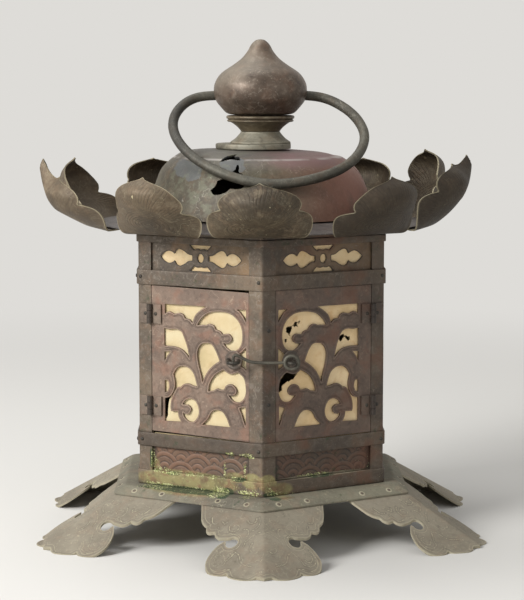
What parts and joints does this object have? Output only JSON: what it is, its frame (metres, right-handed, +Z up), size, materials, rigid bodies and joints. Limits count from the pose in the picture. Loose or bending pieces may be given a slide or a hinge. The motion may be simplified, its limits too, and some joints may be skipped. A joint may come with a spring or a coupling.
{
  "type": "hanging temple lantern",
  "caption": "Hexagonal sheet-copper hanging lantern with pierced doors on hinges, a hook latch, lotus-petal roof, jewel finial with a swinging bail, and scrolled feet.",
  "frame": {"origin": "on the ground under the middle of the body, between the feet", "axes": "+Z up; -Y towards the corner between the two doors, which is the front; +X to the right seen from there"},
  "size_m": [0.2976, 0.334, 0.3383],
  "materials": {
    "wall_copper": "sheet copper, brown with a dull reddish grey patina and powdery green in the seams",
    "door_copper": "pierced and engraved sheet copper, reddish brown patina",
    "roof_copper": "raised sheet copper, mottled brown, grey and violet patina",
    "petal_copper": "engraved sheet copper, dark olive brown with rubbed bright edges",
    "finial_copper": "turned and raised copper, olive brown with reddish wear",
    "dark_iron": "forged wire and rod, dark grey",
    "dusty_copper": "engraved sheet copper under a pale greyish dust",
    "dull_bronze": "dull brown bronze",
    "paper": "aged cream paper, matt"
  },
  "bodies": {
    "lantern": {"corner_post_front": "wall_copper", "corner_post_front_right": "wall_copper", "corner_post_back_right": "wall_copper", "corner_post_back": "wall_copper", "corner_post_back_left": "wall_copper", "corner_post_front_left": "wall_copper", "bottom_band": "wall_copper", "lower_band": "wall_copper", "upper_band": "wall_copper", "top_band": "wall_copper", "wave_skirt": "wall_copper", "frieze": "wall_copper", "side_panel_right": "wall_copper", "side_panel_back_right": "wall_copper", "side_panel_back_left": "wall_copper", "side_panel_left": "wall_copper", "paper_lining": "paper", "hinge_post_leaf_left_lower": "wall_copper", "hinge_post_leaf_left_upper": "wall_copper", "hinge_post_leaf_right_lower": "wall_copper", "hinge_post_leaf_right_upper": "wall_copper", "base_plate": "dusty_copper", "foot_front": "dusty_copper", "foot_front_right": "dusty_copper", "foot_back_right": "dusty_copper", "foot_back": "dusty_copper", "foot_back_left": "dusty_copper", "foot_front_left": "dusty_copper", "roof_seat": "wall_copper", "roof_brim": "roof_copper", "roof_dome": "roof_copper", "petal_1": "petal_copper", "petal_2": "petal_copper", "petal_3": "petal_copper", "petal_4": "petal_copper", "petal_5": "petal_copper", "petal_6": "petal_copper", "petal_7": "petal_copper", "petal_8": "petal_copper", "petal_9": "petal_copper", "petal_10": "petal_copper", "finial_base": "finial_copper", "finial_collar": "finial_copper", "finial_jewel": "finial_copper", "finial_rod": "dull_bronze", "rod_nut": "dull_bronze", "dish_stand": "dull_bronze", "oil_dish": "dull_bronze"},
    "bail": {"bail_ring": "dark_iron"},
    "left_door": {"door_left": "door_copper", "door_paper_left": "paper", "hinge_door_leaf_left_lower": "door_copper", "hinge_door_leaf_left_upper": "door_copper", "latch_staple_left": "dark_iron"},
    "right_door": {"door_right": "door_copper", "door_paper_right": "paper", "hinge_door_leaf_right_lower": "door_copper", "hinge_door_leaf_right_upper": "door_copper", "latch_staple_right": "dark_iron"},
    "latch_hook": {"latch_hook": "dark_iron"}
  },
  "joints": [
    {"name": "bail_swing", "type": "hinge", "parent": "lantern", "child": "bail", "pos_m": [0, 0, 0.29957], "axis": [-1, 0, 0], "range_deg": [0, 253]},
    {"name": "left_door_swing", "type": "hinge", "parent": "lantern", "child": "left_door", "pos_m": [-0.07539, -0.0548, 0.12], "axis": [0, 0, -1], "range_deg": [0, 150]},
    {"name": "right_door_swing", "type": "hinge", "parent": "lantern", "child": "right_door", "pos_m": [0.07539, -0.0548, 0.12], "axis": [0, 0, 1], "range_deg": [0, 150]},
    {"name": "hook_lift", "type": "hinge", "parent": "right_door", "child": "latch_hook", "pos_m": [0.0191, -0.098, 0.12766], "axis": [0, 1, 0], "range_deg": [0, 260]}
  ]
}
